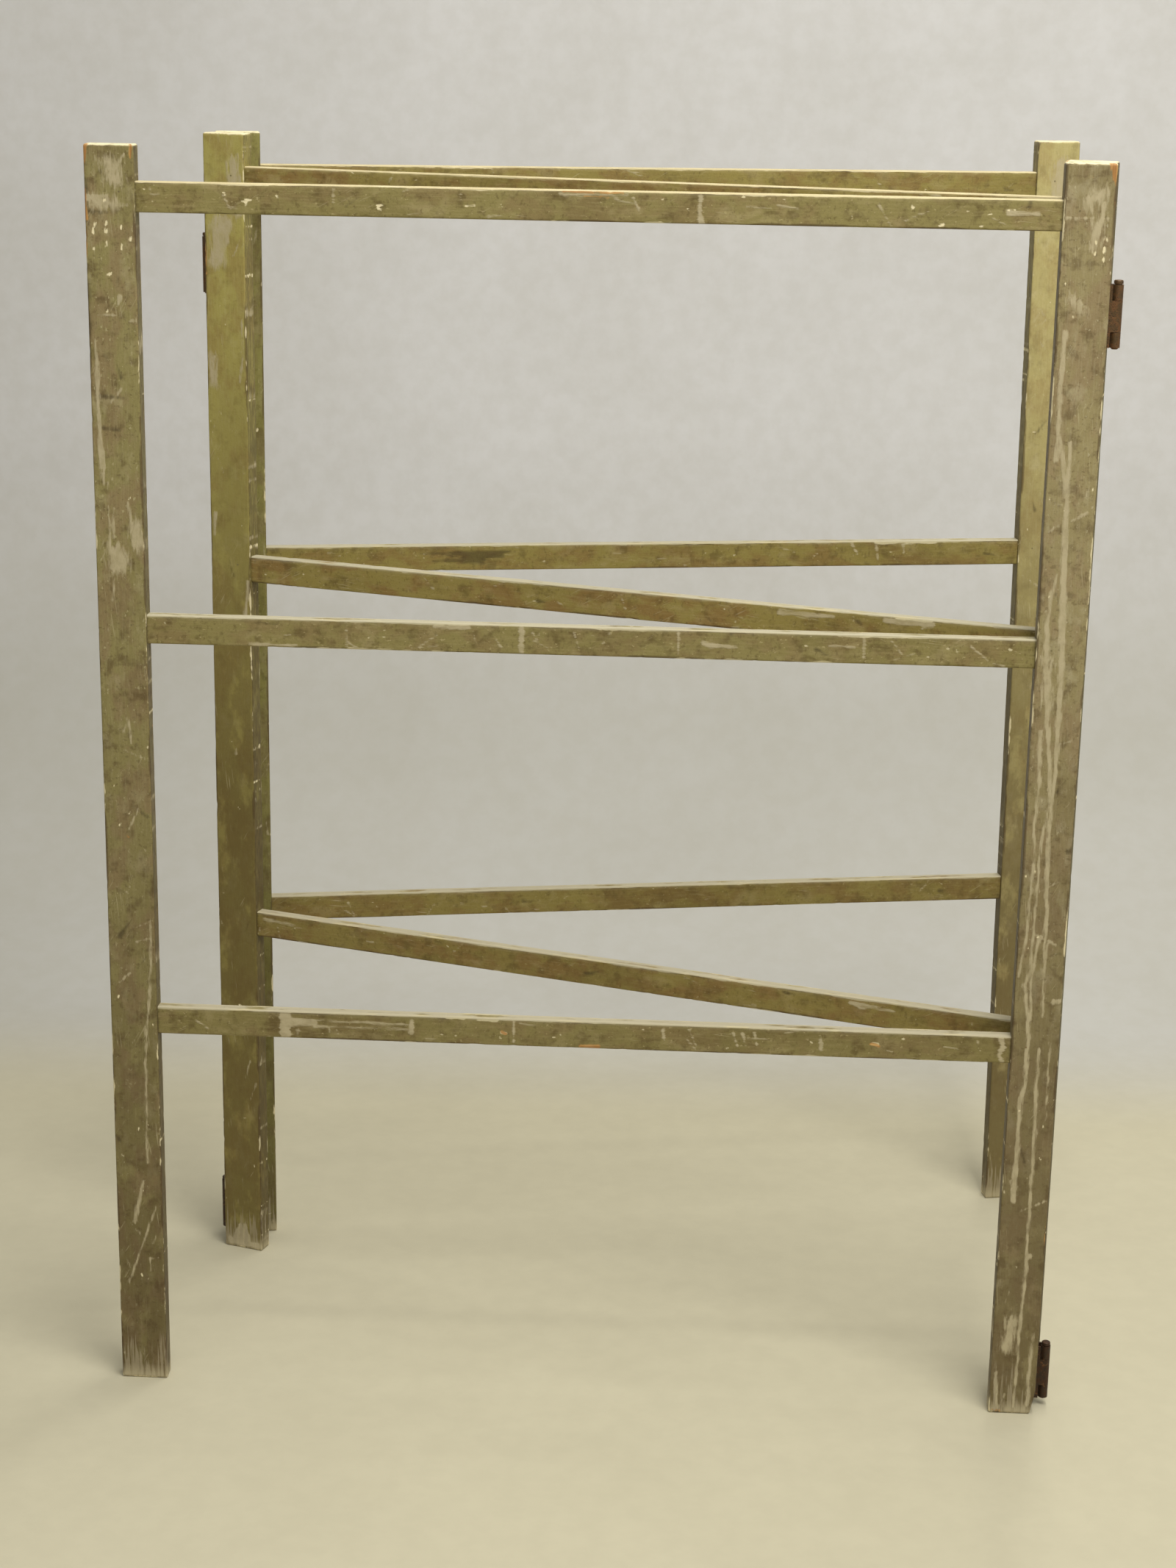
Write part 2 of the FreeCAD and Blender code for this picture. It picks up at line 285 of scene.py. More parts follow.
HAZE = {
    "front_left_stile": [([(985, 42), (968, 45)], 16), ([(955, 20), (944, 22)], 20),
                         ([(1356, 24), (1340, 30)], 14), ([(1318, 8), (1315, 30)], 12)],
    "front_right_stile": [([(1345, 36), (1336, 26)], 13), ([(1318, 36), (1296, 32)], 9),
                          ([(1240, 14), (1228, 26)], 8), ([(870, 12), (820, 16)], 10),
                          ([(110, 20), (80, 17)], 14)],
    "middle_left_stile": [([(1340, 38), (1290, 40)], 16), ([(1275, 22), (1235, 14)], 22),
                          ([(1120, 6), (1090, 6)], 10)],
    "rear_right_stile": [([(1345, 30), (1300, 26)], 18)],
}
CHIPS = {
    "front_right_stile": [([(1303, 44), (1300, 44)], 2.4), ([(1293, 42.7), (1289, 42.5)], 2.2),
                          ([(1282, 42.7), (1280, 42.6)], 2.4), ([(1299, 34), (1297, 34)], 2.2),
                          ([(1288, 33.5), (1286, 33)], 2.4)],
    "front_left_stile": [([(1294, 36), (1292, 35)], 2.2), ([(1282, 44), (1280, 44)], 2.6),
                         ([(1275, 35), (1270, 35)], 1.6), ([(1298, 20), (1295, 20)], 2.2),
                         ([(1290, 20), (1288, 20)], 2), ([(1278, 20), (1273, 20)], 2.4),
                         ([(1297, 10), (1294, 9)], 2), ([(1290, 6), (1287, 6)], 2.6),
                         ([(1271, 6), (1270, 6)], 2.4), ([(1246, 24), (1245, 20)], 2)],
    "front_top_rail": [([(163, -1), (163, -8)], [2.6, 1.6]), ([(159, -2), (168, -1)], 1),
                       ([(195, 4), (195, 2)], 2.2), ([(297, -4), (302, -3)], [3.4, 2]),
                       ([(298, -7), (300, -8)], 1.6), ([(386, -2), (395, -2)], [2.4, 1.6]),
                       ([(862, -12), (866, -11)], 2), ([(902, -12), (905, -12)], 2),
                       ([(834, 6), (835, 5)], 1.8), ([(889, 2), (890, 2)], 1.6),
                       ([(936, 5), (937, 4)], 1.8), ([(140, 6), (142, 4)], 1.4)],
    "front_centre_rail": [([(802, 15), (846, 15)], [4, 5]), ([(893, 4), (894, 3)], 2.6),
                          ([(902, 2), (903, 1)], 2.2), ([(957, 5), (958, 4)], 2.6)],
    "front_bottom_rail": [([(370, 15), (388, 15)], [4, 4]), ([(403, 15), (424, 15)], [4, 5]),
                          ([(430, 0), (434, -1)], [4, 3]), ([(522, -13), (530, -13)], [3, 3]),
                          ([(836, 2), (840, 1)], [4, 3])],
    "rear_centre_rail": [([(800, 15), (875, 15)], [5, 6])],
    "middle_centre_rail": [([(825, 15), (870, 15)], [4, 5])],
}
STAINS = {
    "front_left_stile": [([(1121, 7), (1119, 35)], [8, 4]), ([(1088, 8), (1086, 27)], [7, 6]),
                         ([(1308, 3), (1307, 25)], [8, 4]), ([(552, 25), (532, 11)], [4, 8]),
                         ([(523, 25), (514, 25)], [3, 2]), ([(1349, 15), (1347, 16)], [5, 5]),
                         ([(1345, 28), (1344, 28)], [4.5, 4]), ([(510, 40), (496, 30)], [4, 3]),
                         ([(1340, 1), (1290, 1)], [5, 5]), ([(1240, 1), (1180, 0)], [5, 4])],
    "front_right_stile": [([(548, 46), (547, 35)], [3, 1.5]), ([(1287, 34), (1285, 35)], [4, 4]),
                          ([(940, 17), (930, 20)], [4, 3])],
    "front_top_rail": [([(468, 0), (473, 0)], [4, 3]), ([(210, 12), (214, 12)], [4, 3])],
    "front_centre_rail": [([(150, 12), (190, 9)], [2, 1.4])],
    "rear_centre_rail": [([(235, 6), (300, 4), (345, 7)], [3, 12, 5]), ([(250, -4), (310, -3)], [4, 13]),
                         ([(290, 2), (335, 3)], [14, 9])],
    "middle_centre_rail": [([(788, 6), (792, 4)], [7, 5])],
    "rear_right_stile": [([(659, 22), (657, 22)], [4, 4])],
}
BARE = {
    "front_left_stile": [([(1376, 0), (1362, 0), (1345, -1)], [7, 3, 1]), ([(1330, -1), (1300, 0)], [1, 3]),
                         ([(1376, 47), (1362, 47)], [4, 1]), ([(1290, -1), (1262, -1)], [2, 1]),
                         ([(1122, 50), (1072, 50)], [1, 2]), ([(676, 51), (606, 51)], [1, 2])],
    "front_right_stile": [([(1376, 47), (1366, 48), (1352, 50)], [9, 6, 1]),
                          ([(1345, 51), (1318, 51)], [1, 1]), ([(4, 2), (3, 14)], [1, 2]),
                          ([(230, 51), (205, 51)], [2, 1])],
    "middle_left_stile": [([(1250, -1), (1216, 0)], [3, 2])],
    "middle_right_stile": [([(1376, 2), (1366, 3)], [3, 2])],
    "front_top_rail": [([(484, 14), (545, 13)], [2, 3]), ([(505, 10), (530, 9)], [1, 1.6])],
    "front_bottom_rail": [([(430, 1), (434, -2)], [4, 3]), ([(516, -13), (536, -13)], [4, 4]),
                          ([(834, 1), (842, -1)], [3, 2])],
}


# Loose marks of each kind: how many to a metre of each face, their greatest length and
# the range of their widths, in mm.
LOOSE_DRIPS, LOOSE_CHIPS = (12, 26, (0.5, 1.6)), (16, 3, (0.6, 1.6))
LOOSE_STAINS, LOOSE_BARE = (3, 22, (3, 8)), (1, 4, (0.5, 1.5))
BLOOM_SOFTNESS = 4         # how many times softer than a drip's the edge of a bloom is


def marks_on(name, x, z, face, shift, rng):
    """Four fields over a stick: pale drips and scrapes, chips to the cream coat, dark
    stains, and bare wood, each in mm inside the mark. Drawn marks lie on the front face
    only; every face has loose ones of its own, as many as its length asks for. Bloom
    joins the drips with its depth divided by its softness."""
    fields = []
    front = face == FRONT_FACE
    kinds = ((DRIPS, LOOSE_DRIPS), (CHIPS, LOOSE_CHIPS), (STAINS, LOOSE_STAINS), (BARE, LOOSE_BARE))
    for drawn, (to_a_metre, run, widths) in kinds:
        field = np.full(x.shape, WELL_OUTSIDE)
        count = int(to_a_metre * np.max(z) / 1000)
        for side in range(4):
            here = face == side
            field[here] = loose_strokes(z[here], x[here], rng, count, run, widths)
        for points, wide in drawn.get(name, []):
            moved = [(a + shift[0], b + shift[1]) for a, b in points]
            field[front] = np.maximum(field[front], stroke(z[front], x[front], moved, wide))
        fields.append(field)
    for points, wide in HAZE.get(name, []):
        moved = [(a + shift[0], b + shift[1]) for a, b in points]
        bloom = stroke(z[front], x[front], moved, wide) / BLOOM_SOFTNESS
        fields[0][front] = np.maximum(fields[0][front], bloom)
    return fields


SIDE_DARKENING = 2.4            # how far the stiles' narrow faces lie inside the dark stain colour, darkening them all over, mm
JOINT_SHADE = 1.8             # half the width of the painted shade where a rail enters a stile, mm
APART = 3000               # how far from its own place a stick's pattern may be taken, mm


def place_stick(name, size, basis, seed, shift, rubbed, into=0.0, lost=None, lean=0.0):
    """Builds a stick, wears it and stands it in the row frame, replacing its CAD node.

    The place of a point is the middle of the node's box plus its across, through and
    along distances times the basis's columns. The broad faces ripple inwards by a
    tenth of a millimetre, fading out within 4 mm of an arris. shift carries the drawn
    marks from their own measures to the stick's along and across. rubbed gives how
    worn each point is from its x and z. into is how far a rail's ends run into the
    stiles, in mm, with painted shade where they enter; a stile has none, and its narrow
    faces are darkened all over instead. lost is the width and height of a corner worn
    off the foot. lean is how far the stick's top leans to the left, in mm over its length."""
    section = name.split("_")[0]
    rng = np.random.default_rng(seed)
    width, depth, length = size
    x, y, z, face = stick_surface(width, depth, length, GRID[section], rng)
    side, through, end = width / 2 - np.abs(x), depth / 2 - np.abs(y), np.minimum(z, length - z)
    near = np.sort(np.stack([side, through, end]), axis=0)
    arris = near[0] + near[1]
    ripple = 0.12 * wander(z, 130, rng) + 0.05 * wander(z, 17, rng)
    on_broad_face = through < 1
    y = y - np.sign(y) * np.abs(ripple) * np.clip(arris / 4, 0, 1) * on_broad_face
    drip, chip, stain_and_shade, bare = marks_on(name, x, z, face, shift, rng)
    # painted shade in the joint where a rail enters a stile; else the stile's narrow faces are darkened all
    # over
    if into:
        stain_and_shade = np.maximum(stain_and_shade, JOINT_SHADE - np.abs(end - into))
    else:
        stain_and_shade = np.where(np.isin(face, SIDE_FACES), np.maximum(stain_and_shade, SIDE_DARKENING), stain_and_shade)
    if lost:
        gone = lost[0] * np.clip(1 - z / lost[1], 0, 1) * np.clip(x / (width / 2), 0, 1) ** 3
        x = x - gone
    pattern = np.stack([x, y, z], axis=-1).reshape(-1, 3) + rng.uniform(-APART, APART, 3)
    fields = {"along": z, "arris": arris, "drip": drip, "chip": chip, "stain_and_shade": stain_and_shade,
              "bare": bare, "rubbed": rubbed(x, z)}
    x = x - lean * (z / length - 0.5)
    low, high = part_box(name)
    local = np.stack([x, y, z - length / 2], axis=-1).reshape(-1, 3)
    points = (np.array(low) + np.array(high)) / 2 + local @ basis.T * MM
    rows, columns = x.shape
    row, column = np.arange(rows - 1)[:, None], np.arange(columns)[None, :]
    after = (column + 1) % columns
    quads = np.stack([row * columns + column, row * columns + after,
                      (row + 1) * columns + after, (row + 1) * columns + column], axis=-1).reshape(-1, 4)
    if np.linalg.det(basis) < 0:
        quads = quads[:, ::-1]
    mesh = bpy.data.meshes.new(name)
    mesh.from_pydata(points.tolist(), [], quads.tolist())
    mesh.attributes.new("stick", "FLOAT_VECTOR", "POINT").data.foreach_set("vector", pattern.ravel())
    for title, values in fields.items():
        layer = mesh.attributes.new(title, "FLOAT", "POINT")
        layer.data.foreach_set("value", np.asarray(values, dtype=np.float32).ravel())
    work = bmesh.new()         # closes the seam that each end leaves along its middle line
    work.from_mesh(mesh)
    bmesh.ops.remove_doubles(work, verts=work.verts, dist=1e-6)
    bmesh.ops.dissolve_degenerate(work, edges=work.edges, dist=1e-7)
    work.to_mesh(mesh)
    work.free()
    mesh.shade_smooth()
    stick = bpy.data.objects.new(name, mesh)
    bpy.context.scene.collection.objects.link(stick)
    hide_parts(name)
    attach(stick, section + "_section")
    return stick


def linear(colour):
    """An sRGB hex colour as linear RGBA."""
    parts = [int(colour[i:i + 2], 16) / 255 for i in (1, 3, 5)]
    return tuple(p / 12.92 if p <= 0.04045 else ((p + 0.055) / 1.055) ** 2.4 for p in parts) + (1.0,)


def add(tree, kind, inputs=None, out=None, **settings):
    """Adds one shader node, sets its settings, fills its inputs with values or links,
    and returns the named output, or else the first one in use."""
    node = tree.nodes.new("ShaderNode" + kind)
    for title, value in settings.items():
        setattr(node, title, value)
    for key, value in (inputs or {}).items():
        if isinstance(value, bpy.types.NodeSocket):
            tree.links.new(value, node.inputs[key])
        else:
            node.inputs[key].default_value = value
    return next((socket for socket in node.outputs if socket.enabled and out in (None, socket.name)), None)


MIX, UNDER, OVER = 0, 6, 7     # a colour Mix's inputs: how much, the colour below, the one on top
FROM, TO = 2, 3                # a plain Mix's inputs: its value at none and at full


def patches(tree, place, size, stretch, start, stop, amount=1.0, detail=3.0):
    """Patches in a coat: fractal noise with lumps one size across, drawn out along z by
    stretch, then eased from 0 to amount as the noise goes from start to stop."""
    scaled = add(tree, "VectorMath", {0: place, 1: (1 / size, 1 / size, 1 / size / stretch)},
                 operation="MULTIPLY")
    cloud = add(tree, "TexNoise", {"Vector": scaled, "Scale": 1.0, "Detail": detail, "Roughness": 0.6})
    return add(tree, "MapRange", {"Value": cloud, "From Min": start, "From Max": stop, "To Max": amount},
               interpolation_type="SMOOTHSTEP")


DIRT_AND_SHADE = "#3f3421"               # in stains, as painted shade where rails enter the stiles, and darkening the stiles' narrow faces
OLD_DRIPS = "#b9ad8c"
SCRATCHED = "#bfb490"
RAW_FOOT = "#a1957a"           # grain laid bare at the feet, weathered grey
GRIME = "#4b3a27"              # from hands, along the arrises
PALE_GRAIN, DARK_GRAIN = "#c99d5e", "#a2713e"      # of bare softwood
RAGGED = 3.4                   # the whole play of a ragged edge, half inwards and half outwards, mm


def painted_wood(name, coats, cream, ledge, shade_and_grime, feet):
    """Oil paint on planed softwood. Patches of several olive hues lie over each other,
    with brush marks along the stick. Where the arrises are rubbed the cream
    undercoat shows, and in places the orange wood. Pale drips stand proud. It is
    satin, and dull where worn. ledge colours the rubbed faces. The fifth argument
    darkens the paint with painted shade and grime: a colour, the two places along the
    stick between which it comes in, and how much. feet says how far the paint at the
    foot is worn into upright streaks."""
    material = bpy.data.materials.new(name)
    material.use_nodes = True
    tree = material.node_tree
    tree.nodes.clear()
    stick = add(tree, "Attribute", out="Vector", attribute_name="stick")
    fields = {title: add(tree, "Attribute", out="Fac", attribute_name=title)
              for title in ("along", "arris", "drip", "chip", "stain_and_shade", "bare", "rubbed")}

    # the coats of olive, then painted shade, with grime on the stiles, darker towards a stile's foot and even
    # along a rail, missed here and there
    paint = linear(coats[0][0])
    for colour, size, stretch, start, stop, amount in coats[1:]:
        cover = patches(tree, stick, size, stretch, start, stop, amount, 4.0)
        paint = add(tree, "Mix", {MIX: cover, UNDER: paint, OVER: linear(colour)}, data_type="RGBA")
    shade_colour, start, stop, amount = shade_and_grime
    shade_film = add(tree, "MapRange", {"Value": fields["along"], "From Min": start, "From Max": stop,
                                  "To Max": amount}, interpolation_type="SMOOTHSTEP")
    missed = patches(tree, stick, 26.0, 1.8, 0.5, 0.66, 0.4, 4.0)
    missed = add(tree, "Math", {0: 1.0, 1: missed}, operation="SUBTRACT")
    shade_film = add(tree, "Math", {0: shade_film, 1: missed}, operation="MULTIPLY")
    paint = add(tree, "Mix", {MIX: shade_film, UNDER: paint, OVER: linear(shade_colour)}, data_type="RGBA")

    # ragged edges: marks and wear are pushed in and out by a fine noise. Each mark then
    # comes in between two depths inside its edge, in mm, up to its full cover
    ragged = patches(tree, stick, 3.2, 5.0, 0.2, 0.8, RAGGED, 5.0)
    fray = add(tree, "Math", {0: ragged, 1: RAGGED / 2}, operation="SUBTRACT")
    covers = {}
    for title, outer, inner, full in (("stain_and_shade", -0.5, 3.5, 0.62), ("drip", -1.1, 1.3, 1.0),
                                      ("chip", -0.5, 0.6, 1.0), ("bare", -0.5, 0.8, 0.9)):
        edge = add(tree, "Math", {0: fields[title], 1: fray}, operation="ADD")
        covers[title] = add(tree, "MapRange", {"Value": edge, "From Min": outer, "From Max": inner,
                                               "To Max": full}, interpolation_type="SMOOTHSTEP")
    # stains, and the painted shade where rails enter the stiles, take one dark colour
    paint = add(tree, "Mix", {MIX: covers["stain_and_shade"], UNDER: paint, OVER: linear(DIRT_AND_SHADE)}, data_type="RGBA")

    # drips hide from 0.6 to 0.95 of what is under them
    thin = patches(tree, stick, 9.0, 2.0, 0.3, 0.62)
    thin = add(tree, "Math", {0: thin, 1: 0.35, 2: 0.6}, operation="MULTIPLY_ADD")
    drips = add(tree, "Math", {0: covers["drip"], 1: thin}, operation="MULTIPLY")
    paint = add(tree, "Mix", {MIX: drips, UNDER: paint, OVER: linear(OLD_DRIPS)}, data_type="RGBA")

    # a few scratches: thin straight dashes in two directions, in broken runs
    for turn, stretch, amount in ((0.1, 30.0, 0.4), (-0.5, 18.0, 0.3)):
        turned = add(tree, "VectorRotate", {"Vector": stick, "Angle": turn}, rotation_type="Y_AXIS")
        dash = patches(tree, turned, 1.1, stretch, 0.7, 0.76, amount, 0.0)
        broken = patches(tree, turned, 34.0, 1.5, 0.56, 0.66)
        dash = add(tree, "Math", {0: dash, 1: broken}, operation="MULTIPLY")
        paint = add(tree, "Mix", {MIX: dash, UNDER: paint, OVER: linear(SCRATCHED)}, data_type="RGBA")

    # feet: paint worn into upright streaks that show the raw grain, up to 85 mm high
    streaks = patches(tree, stick, 2.6, 22.0, 0.3, 0.7, 1.0, 2.0)
    foot = add(tree, "MapRange", {"Value": fields["along"], "From Min": 85.0, "From Max": 0.0,
                                  "To Min": -0.75, "To Max": 0.45})
    foot = add(tree, "Math", {0: foot, 1: streaks}, operation="ADD")
    foot = add(tree, "MapRange", {"Value": foot, "From Min": 0.5, "From Max": 0.75, "To Max": feet})
    paint = add(tree, "Mix", {MIX: foot, UNDER: paint, OVER: linear(RAW_FOOT)}, data_type="RGBA")

    # grime reaches up to 3.2 mm in from the arris
    grimy = patches(tree, stick, 20.0, 5.0, 0.42, 0.62, 3.2, 4.0)
    grimy = add(tree, "Math", {0: grimy, 1: fields["arris"]}, operation="SUBTRACT")
    grimy = add(tree, "MapRange", {"Value": grimy, "From Min": 0.0, "From Max": 1.6, "To Max": 0.6},
                interpolation_type="SMOOTHSTEP")
    paint = add(tree, "Mix", {MIX: grimy, UNDER: paint, OVER: linear(GRIME)}, data_type="RGBA")

    # wear reaches up to 3 mm in, and 4 mm more where a face is rubbed. Its outer part
    # shows the cream coat, its heart the wood
    broad = patches(tree, stick, 24.0, 4.0, 0.42, 0.72, 3.0, 4.0)
    worn = add(tree, "Math", {0: broad, 1: fields["arris"]}, operation="SUBTRACT")
    frayed = add(tree, "Math", {0: fray, 1: 0.6}, operation="MULTIPLY")
    worn = add(tree, "Math", {0: worn, 1: frayed}, operation="ADD")
    most = add(tree, "Math", {0: fields["rubbed"], 1: 4.0, 2: worn}, operation="MULTIPLY_ADD")
    edge = add(tree, "MapRange", {"Value": most, "From Min": 0.5, "From Max": 1.3, "To Max": 0.8},
               interpolation_type="SMOOTHSTEP")
    bare = add(tree, "MapRange", {"Value": worn, "From Min": 1.9, "From Max": 2.6},
               interpolation_type="SMOOTHSTEP")
    bare_here = patches(tree, stick, 45.0, 2.0, 0.5, 0.62)
    bare = add(tree, "Math", {0: bare, 1: bare_here}, operation="MULTIPLY")
    bare = add(tree, "Math", {0: bare, 1: covers["bare"]}, operation="MAXIMUM")
    bared = add(tree, "Math", {0: edge, 1: covers["chip"]}, operation="MAXIMUM")
    grain = patches(tree, stick, 2.2, 40.0, 0.35, 0.65)
    wood = add(tree, "Mix", {MIX: grain, UNDER: linear(PALE_GRAIN), OVER: linear(DARK_GRAIN)},
               data_type="RGBA")
    colour = add(tree, "Mix", {MIX: bared, UNDER: paint, OVER: linear(cream)}, data_type="RGBA")
    top = patches(tree, stick, 12.0, 4.0, 0.32, 0.5, 0.9)
    top = add(tree, "Math", {0: top, 1: fields["rubbed"]}, operation="MULTIPLY")
    colour = add(tree, "Mix", {MIX: top, UNDER: colour, OVER: linear(ledge)}, data_type="RGBA")
    colour = add(tree, "Mix", {MIX: bare, UNDER: colour, OVER: wood}, data_type="RGBA")

    # satin paint, chalky where it is bared. The heights are in mm: brush marks and
    # dimples up to a few hundredths, drips a quarter proud, chips a fifth deep
    rough = add(tree, "Mix", {MIX: bared, FROM: 0.56, TO: 0.8})
    brushed = patches(tree, stick, 1.8, 30.0, 0.3, 0.7, 0.05)
    dimples = patches(tree, stick, 2.5, 1.0, 0.3, 0.7, 0.07)
    height = add(tree, "Math", {0: brushed, 1: dimples}, operation="ADD")
    height = add(tree, "Math", {0: covers["drip"], 1: 0.25, 2: height}, operation="MULTIPLY_ADD")
    height = add(tree, "Math", {0: bared, 1: -0.2, 2: height}, operation="MULTIPLY_ADD")
    bump = add(tree, "Bump", {"Height": height, "Distance": MM, "Strength": 0.9})
    shader = add(tree, "BsdfPrincipled", {"Base Color": colour, "Roughness": rough,
                                          "Specular IOR Level": 0.25, "Normal": bump})
    add(tree, "OutputMaterial", {"Surface": shader})
    return material


def basis_of(section, lying):
    """Columns: across, through and along a stick, for a stile, or for a rail that lies
    along its section."""
    turn = math.radians(TURN[section])
    run, through = (math.cos(turn), math.sin(turn), 0), (-math.sin(turn), math.cos(turn), 0)
    return np.array([(0, 0, 1), through, run] if lying else [run, through, (0, 0, 1)]).T


def olive(green, brown, dark, pale, soil=1.0):
    """The coats of olive from the first down: colour, size in mm, stretch along the
    stick, the noise levels between which it comes in, and how much of it. soil scales
    the dirt and the flecks."""
    return [(green,), (brown, 34, 1.6, 0.44, 0.58, 0.95), (dark, 110, 2.2, 0.45, 0.72, 0.5 * soil),
            (dark, 18, 1.0, 0.5, 0.68, 0.7 * soil), (pale, 22, 1.6, 0.54, 0.7, 0.5),
            (green, 9, 1.6, 0.5, 0.64, 0.45), (dark, 6, 0.7, 0.56, 0.68, 0.5 * soil),
            (pale, 2, 10, 0.45, 0.7, 0.25), (dark, 1.8, 1.2, 0.52, 0.66, 0.2 * soil),
            (pale, 3.4, 1.6, 0.64, 0.69, 0.9 * soil)]


TOP_WORN, FOOT_WORN = 2.2, 18      # how far the wear reaches from the sawn top and the foot, mm


def stile_wear(x, z):
    """Rubbed right through on the sawn top, a little at the foot."""
    top = np.clip((z - (STILE_HEIGHT - TOP_WORN)) / 2, 0, 1)
    return top + 0.45 * np.clip(1 - z / FOOT_WORN, 0, 1)


CREAM = "#e8dcb4"
STILE_PAINT = {        # its coats, and the colour, the two heights and the amount of its darkening towards the foot, painted shade with grime
    "front_left_stile": (olive("#8f8656", "#8d7c57", "#5f4f30", "#aca27a"), ("#503f26", 1100, 0, 0.62)),
    "front_right_stile": (olive("#978b62", "#948360", "#665638", "#b2a886"), ("#56472a", 1100, 0, 0.64)),
    "middle_left_stile": (olive("#aaa05b", "#9f8f52", "#6e5f30", "#bab078", 0.4),
                          ("#5f4f2b", 1300, 550, 0.76)),
    "middle_right_stile": (olive("#8b8650", "#80744a", "#61552c", "#a09868", 0.7),
                           ("#4c4024", 900, 0, 0.5)),
    "rear_left_stile": (olive("#8b864c", "#80744a", "#61552c", "#a09868", 0.7),
                        ("#4c4024", 900, 0, 0.5)),
    "rear_right_stile": (olive("#b8ac74", "#ad9d68", "#84764a", "#cabf92", 0.5),
                         ("#5f5030", 1350, 300, 0.8)),
}
FOOT_STREAKS = 0.65              # how far the paint is worn off the feet
FOOT_CORNER_LOST = (5.5, 28)     # width and height of the corner worn off one foot, mm
LEAN = 13.0                      # the rear right stile's top leans this far inwards, mm

seed = 40
for name, (coats, shade_and_grime) in STILE_PAINT.items():
    seed += 1
    left_edge = STILE_WIDTH / 2 - DRAWN_WIDTH if "left" in name else -STILE_WIDTH / 2
    lost = FOOT_CORNER_LOST if name == "front_right_stile" else None
    lean = LEAN if name == "rear_right_stile" else 0.0
    stile = place_stick(name, (STILE_WIDTH, STILE_DEPTH, STILE_HEIGHT), basis_of(name.split("_")[0], False),
                        seed, (0, left_edge), stile_wear, 0.0, lost, lean)
    stile.data.materials.append(painted_wood("olive_paint_" + name, coats, CREAM, CREAM, shade_and_grime, FOOT_STREAKS))

# ======================================================================
# Rails. Nine thinner bars between the stiles, the same wood and paint, set back
# from both faces. Their tops carry the washing: the top three are rubbed to
# cream, and the lower six are dusty, and darkened all over by painted shade,
# the bottom three most.
# ======================================================================
low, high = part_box("front_top_rail")
RAIL_DEPTH = (high[1] - low[1]) / MM
RAIL_HEIGHT = (high[2] - low[2]) / MM
SECTION_WIDTH = (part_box("front_right_stile")[1][0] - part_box("front_left_stile")[0][0]) / MM
RAIL_INTO = 4.0        # how far a rail's end runs into the stile, mm
RAIL_LENGTH = SECTION_WIDTH - 2 * STILE_WIDTH + 2 * RAIL_INTO
RAIL_PAINT = {
    "front": olive("#8c8250", "#88784e", "#5d4e2a", "#aa9d70"),
    "middle": olive("#938549", "#8a7040", "#5c4b26", "#a99968", 0.8),
    "rear": olive("#928548", "#887240", "#5c4b27", "#a59766", 0.8),
}
RAIL_FINISH = {        # ledge, cream at the arrises, and how much painted shade lies over all, most on the bottom rails
    "top": ("#cbbd92", CREAM, 0.0),
    "centre": ("#b3ac92", "#cdc29c", 0.05),
    "bottom": ("#ada58b", "#cdc29c", 0.22),
}


def rail_wear(x, z):
    """Rubbed on the upper face, and a little for 5 mm below it."""
    below = RAIL_HEIGHT / 2 - x
    face, edge = np.clip(1.3 - below / 1.2, 0, 1), np.clip(1 - below / 5, 0, 1)
    return np.clip(face + 0.3 * edge, 0, 1)


# the colour of the painted shade over the lower rails
RAIL_SHADE = "#5a4a28"
EVERYWHERE = (-2, -1)      # two places before the rail's low end, so that the painted shade is full all along

for section, coats in RAIL_PAINT.items():
    for level, (ledge, cream, painted_shade) in RAIL_FINISH.items():
        name = section + "_" + level + "_rail"
        seed += 1
        rail = place_stick(name, (RAIL_HEIGHT, RAIL_DEPTH, RAIL_LENGTH), basis_of(section, True), seed,
                           (RAIL_INTO - DRAWN_WIDTH, 0), rail_wear, RAIL_INTO)
        rail.data.materials.append(painted_wood("olive_paint_" + name, coats, cream, ledge,
                                                (RAIL_SHADE, *EVERYWHERE, painted_shade), 0.0))

# ======================================================================
# Hinges and fixings: four pressed iron butts with loose pins, slotted screws,
# and brads through the tenons. The iron is bare and rusted brown; the brads are
# filled and painted over.
# ======================================================================
FRESH_RUST = "#94673c"
PIT_DEPTH = 0.2 * MM
HALF_METAL = 0.4           # rust hides most of the metal


def rusted_iron(name, scale, rust, dark):
    """Old iron gone brown: dark scale with patches of redder rust a few millimetres
    across, and fine pits. Almost no shine."""
    material = bpy.data.materials.new(name)
    material.use_nodes = True
    tree = material.node_tree
    tree.nodes.clear()
    place = add(tree, "TexCoord", out="Object")
    red = patches(tree, place, 7 * MM, 1.0, 0.42, 0.64, 0.9, 4.0)
    pits = patches(tree, place, 1.1 * MM, 1.0, 0.5, 0.72)
    flecks = patches(tree, place, 3 * MM, 1.0, 0.6, 0.68, 0.5)
    colour = add(tree, "Mix", {MIX: red, UNDER: linear(scale), OVER: linear(rust)}, data_type="RGBA")
    colour = add(tree, "Mix", {MIX: flecks, UNDER: colour, OVER: linear(FRESH_RUST)}, data_type="RGBA")
    colour = add(tree, "Mix", {MIX: pits, UNDER: colour, OVER: linear(dark)}, data_type="RGBA")
    rough = add(tree, "Mix", {MIX: red, FROM: 0.4, TO: 0.7})
    bump = add(tree, "Bump", {"Height": pits, "Distance": -PIT_DEPTH, "Strength": 0.8})
    shader = add(tree, "BsdfPrincipled", {"Base Color": colour, "Roughness": rough,
                                          "Metallic": HALF_METAL, "Normal": bump})
    add(tree, "OutputMaterial", {"Surface": shader})
    return material
